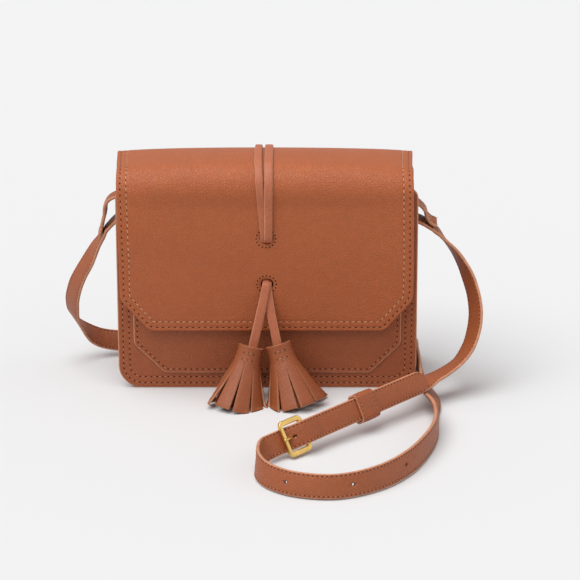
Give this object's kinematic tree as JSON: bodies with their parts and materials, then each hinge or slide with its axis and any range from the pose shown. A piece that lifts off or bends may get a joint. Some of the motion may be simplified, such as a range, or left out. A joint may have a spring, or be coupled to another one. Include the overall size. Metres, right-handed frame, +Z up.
{
  "type": "sling bag",
  "caption": "Leather flap-over sling bag with a corded tassel fastening, a magnetic snap, ring-mounted ends and a buckled strap lying loose on the floor.",
  "frame": {"origin": "middle of the footprint of the bag's body, on the surface it stands on", "axes": "+Z up, the front of the bag faces -Y, and +X is the bag's right side as seen from its front"},
  "size_m": [0.3064, 0.274, 0.1654],
  "materials": {
    "leather": "satin",
    "suede": "matte",
    "strap": "satin",
    "lace": "satin",
    "lining": "matte",
    "board": "matte",
    "brass": "satin"
  },
  "bodies": {
    "body": {"front_panel": "leather", "front_patch": "leather", "back_panel": "leather", "gusset": "leather", "base_board": "board", "lining": "lining", "inner_pocket": "lining", "flap_tail": "leather", "snap_socket": "brass", "tab_left": "leather", "tab_right": "leather", "lace_tail_left": "lace", "lace_tail_right": "lace", "strap_long": "strap", "strap_tip": "strap", "strap_short": "strap", "strap_heel": "strap", "buckle_frame": "brass"},
    "flap": {"flap": "leather", "flap_lining": "suede", "snap_stud": "brass", "lace_left": "lace", "lace_right": "lace"},
    "tassel_left": {"lace_drop_left": "lace", "tassel_head_left": "lace", "tassel_fringe_left": "lace"},
    "tassel_right": {"lace_drop_right": "lace", "tassel_head_right": "lace", "tassel_fringe_right": "lace"},
    "ring_left": {"ring_left": "brass", "strap_fold_left": "strap"},
    "ring_right": {"ring_right": "brass", "strap_fold_right": "strap"},
    "prong": {"buckle_prong": "brass"},
    "keeper": {"keeper": "strap"}
  },
  "joints": [
    {"name": "flap_open", "type": "hinge", "parent": "body", "child": "flap", "pos_m": [0, 0.0347, 0.1545], "axis": [-1, 0, 0], "range_deg": [0, 180]},
    {"name": "tassel_left_swing", "type": "hinge", "parent": "flap", "child": "tassel_left", "pos_m": [0, -0.0392, 0.0805], "axis": [-1, 0, 0], "range_deg": [0, 90]},
    {"name": "tassel_right_swing", "type": "hinge", "parent": "flap", "child": "tassel_right", "pos_m": [0, -0.0392, 0.0805], "axis": [-1, 0, 0], "range_deg": [0, 90]},
    {"name": "ring_left_swing", "type": "hinge", "parent": "body", "child": "ring_left", "pos_m": [-0.1019, 0, 0.138], "axis": [0, 1, 0], "range_deg": [0, 90]},
    {"name": "ring_right_swing", "type": "hinge", "parent": "body", "child": "ring_right", "pos_m": [0.1019, 0, 0.138], "axis": [0, -1, 0], "range_deg": [0, 110]},
    {"name": "prong_lift", "type": "hinge", "parent": "body", "child": "prong", "pos_m": [0.02554, -0.14804, 0.01341], "axis": [-0.3786, 0.3304, 0.8646], "range_deg": [0, 20]},
    {"name": "keeper_slide", "type": "slide", "parent": "body", "child": "keeper", "axis": [0.7278, 0.6834, 0.0576], "range_m": [-0.02, 0.04]}
  ]
}
